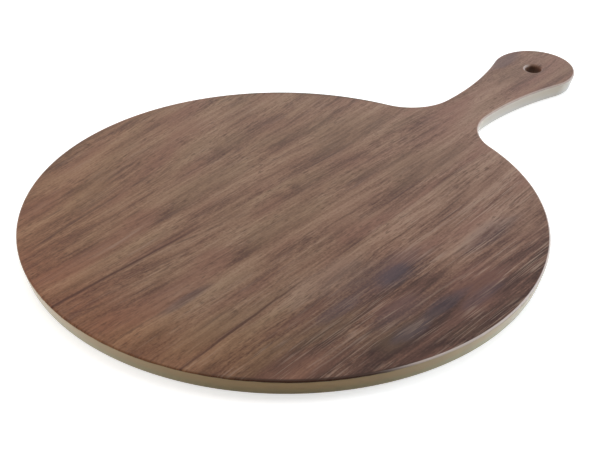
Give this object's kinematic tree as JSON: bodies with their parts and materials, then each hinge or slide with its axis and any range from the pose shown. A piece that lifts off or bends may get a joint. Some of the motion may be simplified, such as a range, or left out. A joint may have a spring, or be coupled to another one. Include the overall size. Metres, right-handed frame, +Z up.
{
  "type": "round serving board",
  "caption": "Round serving board with a paddle handle and a hanging hole: a pale moulded body, hollow underneath, under a walnut-look printed top, standing on non-slip feet.",
  "frame": {"origin": "under the middle of the whole board's footprint, handle included, on the plane that the feet stand on", "axes": "+X from the disc towards the handle's tip, +Z up out of the serving face, +Y across the board"},
  "size_m": [0.435, 0.305, 0.0115],
  "materials": {
    "cream_melamine": "glossy moulded melamine, ivory to cream",
    "walnut_print": "satin walnut wood-grain print under a clear glaze",
    "grey_silicone": "matt soft silicone"
  },
  "bodies": {
    "root": {"board_body": "cream_melamine", "wood_decor_top": "walnut_print", "non_slip_foot_1": "grey_silicone", "non_slip_foot_2": "grey_silicone", "non_slip_foot_3": "grey_silicone", "non_slip_foot_4": "grey_silicone"}
  },
  "joints": []
}
